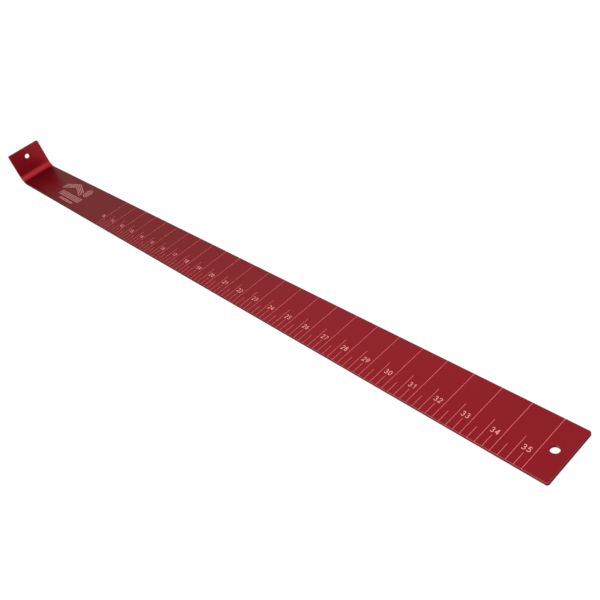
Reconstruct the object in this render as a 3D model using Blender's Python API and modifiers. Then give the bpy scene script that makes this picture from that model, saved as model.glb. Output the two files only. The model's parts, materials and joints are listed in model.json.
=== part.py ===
"""Measuring rule with an end stop, made from one flat aluminium bar.

The bar lies flat and is bent up at its zero end into a square stop, which the thing that is
measured is pushed against. The top face has a scale of inch, half-inch and quarter-inch marks
counted from the stop's inner face, and each end has a hanging hole.

Metres, +Z up. X runs from the stop to the free end and Y from the graduated edge to the plain
edge. The underside lies on Z = 0, and the origin is under the middle of the whole bar.
"""

import math

import bmesh
import bpy
from mathutils import Matrix, Vector

INCH = 0.0254

# The bar. Its reach is counted from the stop's inner face, and the stop's from the top face.
BAR_WIDTH = 2.0 * INCH
BAR_THICKNESS = 0.125 * INCH
RULE_REACH = 0.9085
STOP_REACH = 0.0440
BEND_INNER_RADIUS = 0.0100
CORNER_RADIUS = 0.0020
EDGE_RADIUS = 0.0006

# The hanging holes, on the bar's centre line.
HOLE_DIAMETER = 9 / 32 * INCH
HOLE_CHAMFER = 0.0002
HOLE_FROM_FREE_END = 0.0113
HOLE_FROM_STOP_END = 0.0134

# The scale. The marks stay on the flat between the eased edges: an inch line crosses all of it,
# and the shorter marks end at their reach from the graduated edge.
FIRST_INCH = 10
MARKS_PER_INCH = 4
HALF_MARK_REACH = 0.0239
QUARTER_MARK_REACH = 0.0117
MARK_WIDTH = 0.00035
MARK_DEPTH = 0.0001
MARK_TO_EASED_EDGE = 0.0002
LAST_MARK_TO_HOLE = 0.0015

# How finely the round stretches are divided.
BEND_SEGMENTS = 24
CORNER_SEGMENTS = 6
EDGE_SEGMENTS = 3
HOLE_SEGMENTS = 48
SHARP_ANGLE = math.radians(40)

# How far a cutter stands out of the surface that it cuts.
OVERCUT = 0.001

# Red anodised aluminium: linear base colour, roughness and metallic value.
ANODISED_RED = (0.30, 0.010, 0.018, 1.0)
ANODISED_ROUGHNESS = 0.42
ANODISED_METALLIC = 0.9

# Places that follow from the sizes.
STOP_FACE_X = (BAR_THICKNESS - RULE_REACH) / 2
FREE_END_X = STOP_FACE_X + RULE_REACH
STOP_END_Z = BAR_THICKNESS + STOP_REACH
GRADUATED_EDGE_Y = -BAR_WIDTH / 2
PLAIN_EDGE_Y = BAR_WIDTH / 2


def clear_scene():
    for found in list(bpy.data.objects):
        bpy.data.objects.remove(found, do_unlink=True)


def new_collection(name):
    made = bpy.data.collections.new(name)
    bpy.context.scene.collection.children.link(made)
    return made


def new_object(name, shape, collection):
    """An object whose mesh takes over a bmesh."""
    mesh = bpy.data.meshes.new(name)
    shape.to_mesh(mesh)
    shape.free()
    made = bpy.data.objects.new(name, mesh)
    collection.objects.link(made)
    return made


def anodised_red():
    material = bpy.data.materials.new("anodised_red")
    material.use_nodes = True
    shader = material.node_tree.nodes["Principled BSDF"]
    shader.inputs["Base Color"].default_value = ANODISED_RED
    shader.inputs["Roughness"].default_value = ANODISED_ROUGHNESS
    shader.inputs["Metallic"].default_value = ANODISED_METALLIC
    material.diffuse_color = ANODISED_RED
    return material


def face_line():
    """Points along the top face and up the stop's inner face, seen from the side."""
    bend_centre = Vector((STOP_FACE_X + BEND_INNER_RADIUS, 0, BAR_THICKNESS + BEND_INNER_RADIUS))
    points = [Vector((FREE_END_X, 0, BAR_THICKNESS))]
    for step in range(BEND_SEGMENTS + 1):
        turned = math.radians(90) * step / BEND_SEGMENTS
        points.append(bend_centre - BEND_INNER_RADIUS * Vector((math.sin(turned), 0, math.cos(turned))))
    points.append(Vector((STOP_FACE_X, 0, STOP_END_Z)))
    return points


def bent_bar(collection):
    """The bar's inner face as a bent strip with round corners, made solid and then eased."""
    shape = bmesh.new()
    to_graduated_edge = Vector((0, GRADUATED_EDGE_Y, 0))
    line = [shape.verts.new(point + to_graduated_edge) for point in face_line()]
    edges = [shape.edges.new(pair) for pair in zip(line, line[1:])]
    swept = bmesh.ops.extrude_edge_only(shape, edges=edges)
    across = [item for item in swept["geom"] if isinstance(item, bmesh.types.BMVert)]
    bmesh.ops.translate(shape, verts=across, vec=(0, BAR_WIDTH, 0))
    corners = [vert for vert in shape.verts if len(vert.link_edges) == 2]
    bmesh.ops.bevel(
        shape,
        geom=corners,
        offset=CORNER_RADIUS,
        segments=CORNER_SEGMENTS,
        profile=0.5,
        affect="VERTICES",
    )
    shape.normal_update()
    if max(shape.faces, key=lambda face: face.calc_area()).normal.z < 0:
        bmesh.ops.reverse_faces(shape, faces=shape.faces)

    bar = new_object("rule_bar", shape, collection)
    bar.data.shade_smooth()
    bar.data.materials.append(anodised_red())

    solid = bar.modifiers.new("Thickness", "SOLIDIFY")
    solid.thickness = BAR_THICKNESS
    solid.offset = -1
    solid.use_even_offset = True

    eased = bar.modifiers.new("Eased edges", "BEVEL")
    eased.width = EDGE_RADIUS
    eased.segments = EDGE_SEGMENTS
    eased.limit_method = "ANGLE"
    eased.angle_limit = SHARP_ANGLE
    eased.harden_normals = True
    return bar


def as_cutter(cutter):
    cutter.hide_render = True
    cutter.display_type = "WIRE"
    return cutter


def hole_cutter(name, place, turned, collection):
    """A round cutter that flares at both faces of the bar, so the hole's rims are chamfered."""
    radius = HOLE_DIAMETER / 2
    wall_end = BAR_THICKNESS / 2 - HOLE_CHAMFER
    outside = BAR_THICKNESS / 2 + OVERCUT
    flared = radius + HOLE_CHAMFER + OVERCUT
    profile = (
        (0, outside),
        (flared, outside),
        (radius, wall_end),
        (radius, -wall_end),
        (flared, -outside),
        (0, -outside),
    )
    shape = bmesh.new()
    verts = [shape.verts.new((x, 0, z)) for x, z in profile]
    for pair in zip(verts, verts[1:]):
        shape.edges.new(pair)
    cutter = new_object(name, shape, collection)
    cutter.location = place
    cutter.rotation_euler = turned

    turning = cutter.modifiers.new("Turned", "SCREW")
    turning.steps = HOLE_SEGMENTS
    turning.render_steps = HOLE_SEGMENTS
    turning.use_merge_vertices = True
    turning.merge_threshold = 1e-6
    return as_cutter(cutter)


def add_box(shape, low, high):
    """A box between two corners, added to a bmesh."""
    size = high - low
    placed = Matrix.Translation((low + high) / 2) @ Matrix.Diagonal((*size, 1))
    bmesh.ops.create_cube(shape, size=1, matrix=placed)


def mark_end_y(number):
    """Where a mark ends across the bar. The number counts quarters of an inch from the stop."""
    if number % MARKS_PER_INCH == 0:
        return PLAIN_EDGE_Y - EDGE_RADIUS - MARK_TO_EASED_EDGE
    if number % MARKS_PER_INCH == MARKS_PER_INCH // 2:
        return GRADUATED_EDGE_Y + HALF_MARK_REACH
    return GRADUATED_EDGE_Y + QUARTER_MARK_REACH


def scale_cutter(collection):
    """All the scale's marks as shallow boxes, from the first inch to the last before the hole."""
    marked_reach = RULE_REACH - HOLE_FROM_FREE_END - HOLE_DIAMETER / 2 - LAST_MARK_TO_HOLE
    last_inch = int(marked_reach / INCH)
    start_y = GRADUATED_EDGE_Y + EDGE_RADIUS + MARK_TO_EASED_EDGE
    shape = bmesh.new()
    for number in range(FIRST_INCH * MARKS_PER_INCH, last_inch * MARKS_PER_INCH + 1):
        centre_x = STOP_FACE_X + number * INCH / MARKS_PER_INCH
        low = Vector((centre_x - MARK_WIDTH / 2, start_y, BAR_THICKNESS - MARK_DEPTH))
        high = Vector((centre_x + MARK_WIDTH / 2, mark_end_y(number), BAR_THICKNESS + OVERCUT))
        add_box(shape, low, high)
    return as_cutter(new_object("scale_cutter", shape, collection))


def cut(target, cutter):
    boolean = target.modifiers.new(cutter.name, "BOOLEAN")
    boolean.operation = "DIFFERENCE"
    boolean.solver = "EXACT"
    boolean.object = cutter


def build():
    clear_scene()
    parts = new_collection("measuring_rule")
    cutters = new_collection("cutters")

    bar = bent_bar(parts)
    through_flat = Vector((FREE_END_X - HOLE_FROM_FREE_END, 0, BAR_THICKNESS / 2))
    through_stop = Vector((STOP_FACE_X - BAR_THICKNESS / 2, 0, STOP_END_Z - HOLE_FROM_STOP_END))
    cut(bar, hole_cutter("free_end_hole_cutter", through_flat, (0, 0, 0), cutters))
    cut(bar, hole_cutter("stop_hole_cutter", through_stop, (0, math.radians(90), 0), cutters))
    cut(bar, scale_cutter(cutters))


build()
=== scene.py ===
"""The looks of the measuring rule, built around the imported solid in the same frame.

The rule lies on its underside. X runs from the stop to the free end, Y from the graduated edge
to the plain edge, and Z up. Everything is in metres.
"""

import json
import math

import bmesh
import bpy
from mathutils import Euler, Matrix, Quaternion, Vector, geometry


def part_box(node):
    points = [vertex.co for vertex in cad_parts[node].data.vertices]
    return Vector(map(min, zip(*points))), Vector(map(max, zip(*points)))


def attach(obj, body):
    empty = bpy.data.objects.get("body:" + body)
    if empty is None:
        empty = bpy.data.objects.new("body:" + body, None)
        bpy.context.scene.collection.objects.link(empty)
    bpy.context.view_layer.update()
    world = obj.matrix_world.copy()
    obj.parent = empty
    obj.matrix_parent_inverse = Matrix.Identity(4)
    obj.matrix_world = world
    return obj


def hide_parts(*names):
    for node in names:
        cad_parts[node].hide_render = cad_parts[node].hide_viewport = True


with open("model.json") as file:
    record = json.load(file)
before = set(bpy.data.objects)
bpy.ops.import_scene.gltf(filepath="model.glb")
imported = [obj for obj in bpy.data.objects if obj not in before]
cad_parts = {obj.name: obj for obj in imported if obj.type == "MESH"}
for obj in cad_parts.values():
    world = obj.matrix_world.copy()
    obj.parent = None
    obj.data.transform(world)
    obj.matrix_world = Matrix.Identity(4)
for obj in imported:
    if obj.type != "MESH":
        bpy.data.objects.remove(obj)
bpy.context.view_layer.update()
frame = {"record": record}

INCH = 0.0254
QUARTER_TURN = math.radians(90)

# The bar's own sizes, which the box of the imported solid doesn't give.
BAR_THICKNESS = 0.125 * INCH
BEND_INNER_RADIUS = 0.0100
CORNER_RADIUS = 0.0020
EDGE_RADIUS = 0.0006
HOLE_DIAMETER = 9 / 32 * INCH
HOLE_RIM_RADIUS = 0.0002

# The scale. A mark that meets a long edge runs on down the edge's rounding, to the last angle.
FIRST_INCH = 10
LAST_INCH = 35
MARKS_PER_INCH = 4
MARKS_PER_HALF_INCH = MARKS_PER_INCH // 2
HALF_MARK_REACH = 0.0239
QUARTER_MARK_REACH = 0.0117
MARK_WIDTH = 0.00035
MARK_ROUND_THE_EDGE = math.radians(55)

# All that is marked on the bar is a thin film, which stands a little proud and is sunk a little.
FILM_PROUD = 0.00001
FILM_SUNK = 0.00004

# The numerals: each pair is centred over the last quarter mark before its inch line.
NUMERAL_HEIGHT = 0.0046
NUMERAL_STROKE = 0.00054
NUMERAL_PITCH = 0.0039
NUMERAL_FOOT = 0.0135
NUMERAL_BEFORE_LINE = 0.26 * INCH

# The plain emblem, counted from the stop's inner face and from the graduated edge, in inches.
EMBLEM_STROKE = 0.022
RIDGE = ((3.80, 0.98), (4.92, 1.38), (6.04, 0.98))
RIDGE_LINES = 4
RIDGE_LINE_PITCH = 0.10
RINGS_PLACE = (6.46, 1.36)
RING_DIAMETERS = (0.16, 0.36, 0.56)
LONG_LINE_ENDS = (4.20, 6.72)
LONG_LINES = (0.82, 0.73, 0.64, 0.55)
SHORT_LINE_ENDS = (4.75, 6.35)
SHORT_LINES = (0.38, 0.30)

# How finely the round stretches are divided.
BEND_SEGMENTS = 48
CORNER_SEGMENTS = 12
EDGE_SEGMENTS = 6
HOLE_SEGMENTS = 96
RIM_SEGMENTS = 4
EDGE_STRIP_SEGMENTS = 5
STROKE_END_SEGMENTS = 8
STUDIO_SEGMENTS = 64
ARC_STEP = math.radians(15)

# Faces at a larger angle than the first have a sharp edge between them. Flat shapes lose the
# edges whose faces are within the second angle of each other.
SHARP_ANGLE = math.radians(40)
FLAT_ANGLE = math.radians(1)

# How far a cutter stands out of the bar, and how close two corners are when they become one.
OVERCUT = 0.001
ONE_CORNER = 1e-6

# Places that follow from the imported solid's box.
BAR_LOW, BAR_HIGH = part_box("rule_bar")
TOP_Z = BAR_LOW.z + BAR_THICKNESS
STOP_FACE_X = BAR_LOW.x + BAR_THICKNESS
MIDDLE_Y = (BAR_LOW.y + BAR_HIGH.y) / 2
BAR_WIDTH = BAR_HIGH.y - BAR_LOW.y

# Places in the bar's list of materials, where its faces are the first, at 0.
EASED_EDGES = 1
SIDES = 2

# Dyed anodising. Each finish: a light and a deep tone, roughness, and the weight of a clear coat.
FACE_FINISH = ((0.248, 0.0032, 0.0094), (0.224, 0.0028, 0.0085), 0.36, 0.21)
# The eased edges and the sides are darker copies of the face finish. Their lower tones are painted
# shade, which draws dark lines along the bar's edges.
EASED_PAINTED_SHADE_FINISH = ((0.19, 0.0060, 0.0110), (0.17, 0.0055, 0.0100), 0.26, 0.45)
SIDE_PAINTED_SHADE_FINISH = ((0.19, 0.0060, 0.0105), (0.17, 0.0054, 0.0095), 0.42, 0.04)
METAL_SHARE = 0.84
GRAZING_TINT = (0.02, 0.58, 0.52, 1)
SPECULAR_LEVEL = 0.2
COAT_ROUGHNESS = 0.24
COAT_IOR = 1.5
ROUGHNESS_SPREAD = 0.03

# What is etched into the dye: a light and a deep tone each, and the range of the roughness.
LINE_TONES = ((0.61, 0.108, 0.122), (0.56, 0.098, 0.112))
NUMERAL_TONES = ((0.70, 0.230, 0.230), (0.63, 0.200, 0.200))
EMBLEM_TONES = ((0.55, 0.225, 0.225), (0.50, 0.200, 0.200))
ETCHED_ROUGHNESS = (0.55, 0.75)

# Noise patterns: the scale, how far each is drawn out along the bar, and its detail.
CLOUD = (18, 4, 4)
GRAIN = (2200, 60, 2)
PITS = (5200, 1, 2)
MOTTLE = (3000, 1, 3)
NOISE_USUAL_RANGE = (0.3, 0.7)
GRAIN_DEPTH = 1.0e-6
PITS_DEPTH = 2.0e-6
MOTTLE_DEPTH = 2.0e-6

# The camera.
CAMERA_PLACE = Vector((0.6304, -0.2400, 0.4095))
CAMERA_AIM = Vector((0.1579, 0.0130, 0.0032))
CAMERA_ROLL = math.radians(-21.33)
CAMERA_LENS = 42.49
CAMERA_SHIFT = (0.0110, -0.0063)
CAMERA_CLIP_START = 0.01

# The studio sky: its radiance by a direction's upward part, 0 at the horizon and 1 overhead.
SKY_STRENGTH = 4.0
SKY_LEVELS = (
    (0.0, 0.30),
    (0.36, 0.49),
    (0.45, 0.69),
    (0.57, 1.15),
    (0.68, 1.42),
    (0.80, 0.78),
    (1.0, 1.45),
)
# Each soft light: where it is, the angles of its even core and of its faded rim, and its radiance.
SOFT_LIGHTS = (
    (Vector((0.70, 0.12, 0.70)), math.radians(5), math.radians(36), 1.05),
    (Vector((1.00, 0.10, -0.25)), math.radians(10), math.radians(55), 0.80),
    (Vector((-0.30, -0.84, 0.42)), math.radians(5), math.radians(36), 4.2),
    (Vector((0.76, -0.65, 0.04)), math.radians(5), math.radians(35), 5.6),
    (Vector((-0.30, -0.50, -0.81)), math.radians(10), math.radians(42), 1.10),
)

# The pale floor and the wall around it.
FLOOR_COLOUR = (0.03, 0.03, 0.03, 1)
FLOOR_GLOW_COLOUR = (1, 1, 1, 1)
FLOOR_GLOW = 0.98
FLOOR_ROUGHNESS = 0.9
FLOOR_GAP = 0.0001
STUDIO_RADIUS = 12.0


def add_camera():
    data = bpy.data.cameras.new("camera")
    data.lens = CAMERA_LENS
    data.shift_x, data.shift_y = CAMERA_SHIFT
    data.clip_start = CAMERA_CLIP_START
    camera = bpy.data.objects.new("camera", data)
    bpy.context.scene.collection.objects.link(camera)
    level = (CAMERA_AIM - CAMERA_PLACE).to_track_quat("-Z", "Y")
    rolled = level @ Quaternion((0, 0, 1), CAMERA_ROLL)
    camera.matrix_world = Matrix.LocRotScale(CAMERA_PLACE, rolled, None)
    bpy.context.scene.camera = camera


def set_view():
    settings = bpy.context.scene.view_settings
    settings.view_transform = "Standard"
    settings.look = "None"


def new_material(name):
    material = bpy.data.materials.new(name)
    material.use_nodes = True
    tree = material.node_tree
    return material, tree, tree.nodes["Principled BSDF"]


def stretched_noise(tree, scale, stretch, detail):
    """Noise in the object's own metres, drawn out along the bar."""
    place = tree.nodes.new("ShaderNodeTexCoord")
    mapping = tree.nodes.new("ShaderNodeMapping")
    mapping.inputs["Scale"].default_value = (1 / stretch, 1, 1)
    noise = tree.nodes.new("ShaderNodeTexNoise")
    noise.inputs["Scale"].default_value = scale
    noise.inputs["Detail"].default_value = detail
    tree.links.new(place.outputs["Object"], mapping.inputs["Vector"])
    tree.links.new(mapping.outputs["Vector"], noise.inputs["Vector"])
    return noise.outputs["Fac"]


def mapped(tree, value, low, high):
    """A noise value spread from its usual middle range onto low to high."""
    spread = tree.nodes.new("ShaderNodeMapRange")
    spread.inputs["From Min"].default_value = NOISE_USUAL_RANGE[0]
    spread.inputs["From Max"].default_value = NOISE_USUAL_RANGE[1]
    spread.inputs["To Min"].default_value = low
    spread.inputs["To Max"].default_value = high
    tree.links.new(value, spread.inputs["Value"])
    return spread.outputs["Result"]


def mixed_colour(tree, factor, first, second):
    mix = tree.nodes.new("ShaderNodeMix")
    mix.data_type = "RGBA"
    mix.inputs["A"].default_value = (*first, 1)
    mix.inputs["B"].default_value = (*second, 1)
    tree.links.new(factor, mix.inputs["Factor"])
    return mix.outputs["Result"]


def bumped(tree, heights, shader):
    """Bumps laid over each other: each is a height output and its depth in metres."""
    normal = None
    for height, depth in heights:
        bump = tree.nodes.new("ShaderNodeBump")
        bump.inputs["Strength"].default_value = 1.0
        bump.inputs["Distance"].default_value = depth
        tree.links.new(height, bump.inputs["Height"])
        if normal is not None:
            tree.links.new(normal, bump.inputs["Normal"])
        normal = bump.outputs["Normal"]
    tree.links.new(normal, shader.inputs["Normal"])


def anodised(name, light, deep, roughness, coat):
    """Dyed satin anodising: a coloured metal under a thin clear coat, with a faint rolled grain."""
    material, tree, shader = new_material(name)
    cloud = stretched_noise(tree, *CLOUD)
    grain = stretched_noise(tree, *GRAIN)
    pits = stretched_noise(tree, *PITS)
    rough = mapped(tree, grain, roughness - ROUGHNESS_SPREAD, roughness + ROUGHNESS_SPREAD)
    tree.links.new(mixed_colour(tree, cloud, deep, light), shader.inputs["Base Color"])
    tree.links.new(rough, shader.inputs["Roughness"])
    bumped(tree, ((grain, GRAIN_DEPTH), (pits, PITS_DEPTH)), shader)
    shader.inputs["Metallic"].default_value = METAL_SHARE
    shader.inputs["Specular Tint"].default_value = GRAZING_TINT
    shader.inputs["Specular IOR Level"].default_value = SPECULAR_LEVEL
    shader.inputs["Coat Weight"].default_value = coat
    shader.inputs["Coat Roughness"].default_value = COAT_ROUGHNESS
    shader.inputs["Coat IOR"].default_value = COAT_IOR
    return material


def etched(name, light, deep):
    """Where the dye is burnt out: pale, matt and slightly mottled."""
    material, tree, shader = new_material(name)
    mottle = stretched_noise(tree, *MOTTLE)
    tree.links.new(mixed_colour(tree, mottle, deep, light), shader.inputs["Base Color"])
    tree.links.new(mapped(tree, mottle, *ETCHED_ROUGHNESS), shader.inputs["Roughness"])
    bumped(tree, ((mottle, MOTTLE_DEPTH),), shader)
    return material


def new_piece(name, shape, *materials):
    """An object that takes over a bmesh."""
    mesh = bpy.data.meshes.new(name)
    shape.to_mesh(mesh)
    shape.free()
    for material in materials:
        mesh.materials.append(material)
    piece = bpy.data.objects.new(name, mesh)
    bpy.context.scene.collection.objects.link(piece)
    return piece


def apply_modifiers(piece):
    graph = bpy.context.evaluated_depsgraph_get()
    done = bpy.data.meshes.new_from_object(piece.evaluated_get(graph))
    piece.modifiers.clear()
    piece.data = done


def face_line():
    """Points along the top face and up the stop's inner face, seen from the side."""
    centre = Vector((STOP_FACE_X + BEND_INNER_RADIUS, BAR_LOW.y, TOP_Z + BEND_INNER_RADIUS))
    line = [Vector((BAR_HIGH.x, BAR_LOW.y, TOP_Z))]
    for step in range(BEND_SEGMENTS + 1):
        turned = QUARTER_TURN * step / BEND_SEGMENTS
        outwards = Vector((math.sin(turned), 0, math.cos(turned)))
        line.append(centre - BEND_INNER_RADIUS * outwards)
    line.append(Vector((STOP_FACE_X, BAR_LOW.y, BAR_HIGH.z)))
    return line


def bent_face():
    """The bar's inner face as a bmesh: a bent strip with round corners, facing up and inwards."""
    shape = bmesh.new()
    line = [shape.verts.new(point) for point in face_line()]
    edges = [shape.edges.new(pair) for pair in zip(line, line[1:])]
    swept = bmesh.ops.extrude_edge_only(shape, edges=edges)
    across = [item for item in swept["geom"] if isinstance(item, bmesh.types.BMVert)]
    bmesh.ops.translate(shape, verts=across, vec=(0, BAR_WIDTH, 0))
    corners = [vert for vert in shape.verts if len(vert.link_edges) == 2]
    bmesh.ops.bevel(
        shape,
        geom=corners,
        offset=CORNER_RADIUS,
        segments=CORNER_SEGMENTS,
        profile=0.5,
        affect="VERTICES",
    )
    shape.normal_update()
    if max(shape.faces, key=lambda face: face.calc_area()).normal.z < 0:
        bmesh.ops.reverse_faces(shape, faces=shape.faces)
    return shape


def hole_cutter(place, turned):
    """A round cutter whose ends flare in an arc, so the hole's rims come out rounded."""
    radius = HOLE_DIAMETER / 2
    half = BAR_THICKNESS / 2
    flared = radius + HOLE_RIM_RADIUS + OVERCUT
    rim = [(flared, half + OVERCUT), (flared, half)]
    for step in range(RIM_SEGMENTS + 1):
        turned_in = QUARTER_TURN * step / RIM_SEGMENTS
        across = radius + HOLE_RIM_RADIUS * (1 - math.sin(turned_in))
        rim.append((across, half - HOLE_RIM_RADIUS * (1 - math.cos(turned_in))))
    other_rim = [(across, -along) for across, along in reversed(rim)]
    profile = [(0, half + OVERCUT), *rim, *other_rim, (0, -half - OVERCUT)]

    shape = bmesh.new()
    verts = [shape.verts.new((across, 0, along)) for across, along in profile]
    for pair in zip(verts, verts[1:]):
        shape.edges.new(pair)
    cutter = new_piece("hole_cutter", shape)
    turning = cutter.modifiers.new("Turned", "SCREW")
    turning.steps = turning.render_steps = HOLE_SEGMENTS
    turning.use_merge_vertices = True
    turning.merge_threshold = ONE_CORNER
    cutter.matrix_world = Matrix.LocRotScale(place, Euler(turned), None)
    return cutter


def opening_middle(name):
    """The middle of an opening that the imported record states."""
    openings = frame["record"]["physics"]["openings"]
    opening = next(each for each in openings if each["name"] == name)
    low, high = (Vector(corner) for corner in opening["box_m"])
    return (low + high) / 2


def make_bar(*materials):
    """The bent face made solid, with eased edges and the two holes.

    The materials are those of the faces, the eased edges and the sides. The last two are darker
    copies of the first, which paint shade along the edges.
    """
    bar = new_piece("bar", bent_face(), *materials)
    solid = bar.modifiers.new("Thickness", "SOLIDIFY")
    solid.thickness = BAR_THICKNESS
    solid.offset = -1
    solid.use_even_offset = True
    solid.material_offset_rim = SIDES
    eased = bar.modifiers.new("Eased edges", "BEVEL")
    eased.width = EDGE_RADIUS
    eased.segments = EDGE_SEGMENTS
    eased.limit_method = "ANGLE"
    eased.angle_limit = SHARP_ANGLE
    eased.material = EASED_EDGES

    cutters = [
        hole_cutter(opening_middle("free_end_hole"), (0, 0, 0)),
        hole_cutter(opening_middle("stop_hole"), (0, QUARTER_TURN, 0)),
    ]
    for cutter in cutters:
        hole = bar.modifiers.new("Hole", "BOOLEAN")
        hole.operation = "DIFFERENCE"
        hole.solver = "EXACT"
        hole.object = cutter
    apply_modifiers(bar)
    for cutter in cutters:
        bpy.data.objects.remove(cutter)

    bar.data.shade_smooth()
    bar.data.set_sharp_from_angle(angle=SHARP_ANGLE)
    even = bar.modifiers.new("Even shading", "WEIGHTED_NORMAL")
    even.keep_sharp = True
    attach(bar, "root")
    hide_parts("rule_bar")


def as_film(name, shape, material):
    """A piece that turns flat shapes on the bar into a thin film."""
    bmesh.ops.dissolve_limit(
        shape,
        angle_limit=FLAT_ANGLE,
        verts=shape.verts,
        edges=shape.edges,
    )
    loose = [vert for vert in shape.verts if not vert.link_faces]
    bmesh.ops.delete(shape, geom=loose, context="VERTS")
    piece = new_piece(name, shape, material)
    film = piece.modifiers.new("Film", "SOLIDIFY")
    film.thickness = FILM_PROUD + FILM_SUNK
    film.offset = (FILM_PROUD - FILM_SUNK) / (FILM_PROUD + FILM_SUNK)
    apply_modifiers(piece)
    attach(piece, "root")


def edge_arc(side):
    """(y, z) points down a long edge's rounding, from the flat outwards. Side is -1 or 1."""
    flat_end = MIDDLE_Y + side * (BAR_WIDTH / 2 - EDGE_RADIUS)
    rounding = []
    for step in range(EDGE_STRIP_SEGMENTS + 1):
        turned = MARK_ROUND_THE_EDGE * step / EDGE_STRIP_SEGMENTS
        y = flat_end + side * EDGE_RADIUS * math.sin(turned)
        rounding.append((y, TOP_Z - EDGE_RADIUS * (1 - math.cos(turned))))
    return rounding


def mark_line(number):
    """(y, z) points along a mark from the graduated edge. The number counts quarter inches."""
    start = list(reversed(edge_arc(-1)))
    if number % MARKS_PER_INCH == 0:
        return start + edge_arc(1)
    reach = QUARTER_MARK_REACH if number % MARKS_PER_HALF_INCH else HALF_MARK_REACH
    return start + [(BAR_LOW.y + reach, TOP_Z)]


def make_marks(name, numbers, material):
    """A set of the scale's marks: thin strips that follow the top face and its eased edges."""
    shape = bmesh.new()
    for number in numbers:
        x = STOP_FACE_X + number * INCH / MARKS_PER_INCH
        left, right = (
            [shape.verts.new((x + aside, y, z)) for y, z in mark_line(number)]
            for aside in (-MARK_WIDTH / 2, MARK_WIDTH / 2)
        )
        for corners in zip(left, right, right[1:], left[1:]):
            shape.faces.new(corners)
    as_film(name, shape, material)


def make_scale(material):
    every = range(FIRST_INCH * MARKS_PER_INCH, LAST_INCH * MARKS_PER_INCH + 1)
    inches = [n for n in every if n % MARKS_PER_INCH == 0]
    halves = [n for n in every if n % MARKS_PER_INCH == MARKS_PER_HALF_INCH]
    quarters = [n for n in every if n % MARKS_PER_HALF_INCH]
    make_marks("inch_lines", inches, material)
    make_marks("half_marks", halves, material)
    make_marks("quarter_marks", quarters, material)


def arc(centre, radii, first, last):
    """Points on an ellipse from one angle to another, in degrees."""
    first, last = math.radians(first), math.radians(last)
    steps = round(abs(last - first) / ARC_STEP)
    angles = [first + (last - first) * step / steps for step in range(steps + 1)]
    return [
        Vector((centre[0] + radii[0] * math.cos(angle), centre[1] + radii[1] * math.sin(angle)))
        for angle in angles
    ]


def points(*places):
    return [Vector(place) for place in places]


def numeral_paths():
    """The middle lines of the ten numerals: each is 1 tall and stands on y = 0 around x = 0."""
    return {
        "0": [arc((0, 0.5), (0.29, 0.5), 0, 360)],
        "1": [points((-0.14, 0.84), (0.08, 1), (0.08, 0))],
        "2": [arc((0, 0.72), (0.28, 0.28), 165, -38) + points((-0.29, 0), (0.29, 0))],
        "3": [arc((-0.02, 0.76), (0.24, 0.24), 150, -90), arc((0, 0.26), (0.28, 0.26), 90, -152)],
        "4": [points((0.13, 0), (0.13, 1), (-0.32, 0.27), (0.31, 0.27))],
        "5": [
            points((0.23, 1), (-0.15, 1), (-0.22, 0.55))
            + arc((-0.02, 0.32), (0.30, 0.32), 130, -150)
        ],
        "6": [points((0.10, 1), (-0.23, 0.46)), arc((0, 0.31), (0.29, 0.31), 0, 360)],
        "7": [points((-0.27, 1), (0.28, 1), (-0.10, 0))],
        "8": [arc((0, 0.76), (0.23, 0.24), 0, 360), arc((0, 0.26), (0.28, 0.26), 0, 360)],
        "9": [points((-0.10, 0), (0.23, 0.54)), arc((0, 0.69), (0.29, 0.31), 0, 360)],
    }


def stroke_outlines(path, width):
    """A round-ended outline around each length of a path."""
    outlines = []
    for start, end in zip(path, path[1:]):
        heading = math.atan2(end.y - start.y, end.x - start.x)
        outline = []
        for middle, first in ((end, -90), (start, 90)):
            for step in range(STROKE_END_SEGMENTS + 1):
                angle = heading + math.radians(first + 180 * step / STROKE_END_SEGMENTS)
                outline.append(middle + width / 2 * Vector((math.cos(angle), math.sin(angle))))
        outlines.append(outline)
    return outlines


def stroked(paths, width):
    """One flat shape that a stroke along the paths covers: corners, and faces as their numbers."""
    outlines = [outline for path in paths for outline in stroke_outlines(path, width)]
    corners = [corner for outline in outlines for corner in outline]
    faces = []
    first = 0
    for outline in outlines:
        faces.append(list(range(first, first + len(outline))))
        first += len(outline)
    only_inside = 1
    merged = geometry.delaunay_2d_cdt(corners, [], faces, only_inside, ONE_CORNER)
    corners, _, triangles, _, _, sources = merged
    return corners, [face for face, covering in zip(triangles, sources) if covering]


def add_flat(shape, flat, place, scale):
    """A flat shape added to a bmesh, on the bar's top face."""
    corners, faces = flat
    verts = [
        shape.verts.new((place.x + corner.x * scale, place.y + corner.y * scale, TOP_Z))
        for corner in corners
    ]
    for face in faces:
        shape.faces.new([verts[i] for i in face])


def make_numerals(material):
    """The numbers of the inch lines, upright as seen from the graduated edge."""
    line_height = NUMERAL_HEIGHT - NUMERAL_STROKE
    glyphs = {
        name: stroked(paths, NUMERAL_STROKE / line_height)
        for name, paths in numeral_paths().items()
    }
    shape = bmesh.new()
    foot = BAR_LOW.y + NUMERAL_FOOT + NUMERAL_STROKE / 2
    for inch in range(FIRST_INCH, LAST_INCH + 1):
        middle = STOP_FACE_X + inch * INCH - NUMERAL_BEFORE_LINE
        for side, name in zip((-0.5, 0.5), str(inch)):
            place = Vector((middle + side * NUMERAL_PITCH, foot))
            add_flat(shape, glyphs[name], place, line_height)
    as_film("numerals", shape, material)


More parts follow.
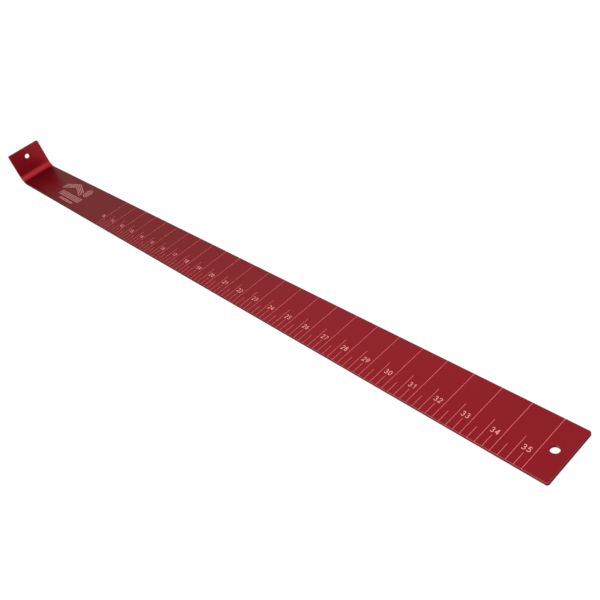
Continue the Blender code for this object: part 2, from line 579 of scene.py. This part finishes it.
def make_emblem(material):
    """A plain device in fine lines: a ridge and rings over two bars."""
    paths = []
    for line in range(RIDGE_LINES):
        raised = Vector((0, line * RIDGE_LINE_PITCH))
        paths.append([place + raised for place in points(*RIDGE)])
    for diameter in RING_DIAMETERS:
        paths.append(arc(RINGS_PLACE, (diameter / 2, diameter / 2), 0, 360))
    for ends, lines in ((LONG_LINE_ENDS, LONG_LINES), (SHORT_LINE_ENDS, SHORT_LINES)):
        paths += [points((ends[0], y), (ends[1], y)) for y in lines]
    shape = bmesh.new()
    add_flat(shape, stroked(paths, EMBLEM_STROKE), Vector((STOP_FACE_X, BAR_LOW.y)), INCH)
    as_film("emblem", shape, material)


def studio_white():
    """Matt, and bright by its own glow, so the floor looks the same all over."""
    material, _, shader = new_material("pale_floor")
    shader.inputs["Base Color"].default_value = FLOOR_COLOUR
    shader.inputs["Emission Color"].default_value = FLOOR_GLOW_COLOUR
    shader.inputs["Emission Strength"].default_value = FLOOR_GLOW
    shader.inputs["Roughness"].default_value = FLOOR_ROUGHNESS
    shader.inputs["Specular IOR Level"].default_value = 0.0
    return material


def add_floor(material):
    """A round floor just under the bar. Reflections show the sky in its place."""
    shape = bmesh.new()
    bmesh.ops.create_circle(
        shape,
        cap_ends=True,
        segments=STUDIO_SEGMENTS,
        radius=STUDIO_RADIUS,
    )
    floor = new_piece("floor", shape, material)
    floor.location.z = BAR_LOW.z - FLOOR_GAP
    floor.visible_glossy = False


def add_backdrop(material):
    """A pale wall around the floor, seen from low angles. It neither lights nor shades the bar."""
    shape = bmesh.new()
    bmesh.ops.create_cone(
        shape,
        cap_ends=False,
        segments=STUDIO_SEGMENTS,
        radius1=STUDIO_RADIUS,
        radius2=STUDIO_RADIUS,
        depth=2 * STUDIO_RADIUS,
    )
    backdrop = new_piece("backdrop", shape, material)
    backdrop.visible_diffuse = False
    backdrop.visible_glossy = False
    backdrop.visible_shadow = False


def with_soft_light(tree, direction, light, place, core, rim, level):
    """The light of every direction with a round soft light added, which fades towards its rim."""
    towards = tree.nodes.new("ShaderNodeVectorMath")
    towards.operation = "DOT_PRODUCT"
    towards.inputs[1].default_value = place.normalized()
    tree.links.new(direction, towards.inputs[0])
    fade = tree.nodes.new("ShaderNodeMapRange")
    fade.interpolation_type = "SMOOTHSTEP"
    fade.inputs["From Min"].default_value = math.cos(rim)
    fade.inputs["From Max"].default_value = math.cos(core)
    fade.inputs["To Max"].default_value = level / SKY_STRENGTH
    tree.links.new(towards.outputs["Value"], fade.inputs["Value"])
    total = tree.nodes.new("ShaderNodeVectorMath")
    total.operation = "ADD"
    tree.links.new(light, total.inputs[0])
    tree.links.new(fade.outputs["Result"], total.inputs[1])
    return total.outputs["Vector"]


def add_light():
    """A plain studio sky in level bands, with the soft lights over it.

    A ramp's colours end at 1, so all radiances go in as shares of the sky's strength.
    """
    world = bpy.data.worlds.new("studio")
    world.use_nodes = True
    bpy.context.scene.world = world
    tree = world.node_tree
    direction = tree.nodes.new("ShaderNodeTexCoord").outputs["Generated"]
    split = tree.nodes.new("ShaderNodeSeparateXYZ")
    ramp = tree.nodes.new("ShaderNodeValToRGB")
    tree.links.new(direction, split.inputs["Vector"])
    tree.links.new(split.outputs["Z"], ramp.inputs["Fac"])
    stops = ramp.color_ramp.elements
    stops[0].position, stops[1].position = SKY_LEVELS[0][0], SKY_LEVELS[-1][0]
    for upward, _ in SKY_LEVELS[1:-1]:
        stops.new(upward)
    for stop, (_, level) in zip(stops, SKY_LEVELS):
        share = level / SKY_STRENGTH
        stop.color = (share, share, share, 1)

    light = ramp.outputs["Color"]
    for soft_light in SOFT_LIGHTS:
        light = with_soft_light(tree, direction, light, *soft_light)
    background = tree.nodes["Background"]
    tree.links.new(light, background.inputs["Color"])
    background.inputs["Strength"].default_value = SKY_STRENGTH


add_camera()
set_view()
add_light()
pale_floor = studio_white()
add_floor(pale_floor)
add_backdrop(pale_floor)

make_bar(
    anodised("anodised_red", *FACE_FINISH),
    # Darker copies of the face finish for the eased edges and the sides: painted shade along the
    # edges.
    anodised("anodised_red_rounding", *EASED_PAINTED_SHADE_FINISH),
    anodised("anodised_red_side", *SIDE_PAINTED_SHADE_FINISH),
)
make_scale(etched("etched_line", *LINE_TONES))
make_numerals(etched("etched_numeral", *NUMERAL_TONES))
make_emblem(etched("etched_emblem", *EMBLEM_TONES))
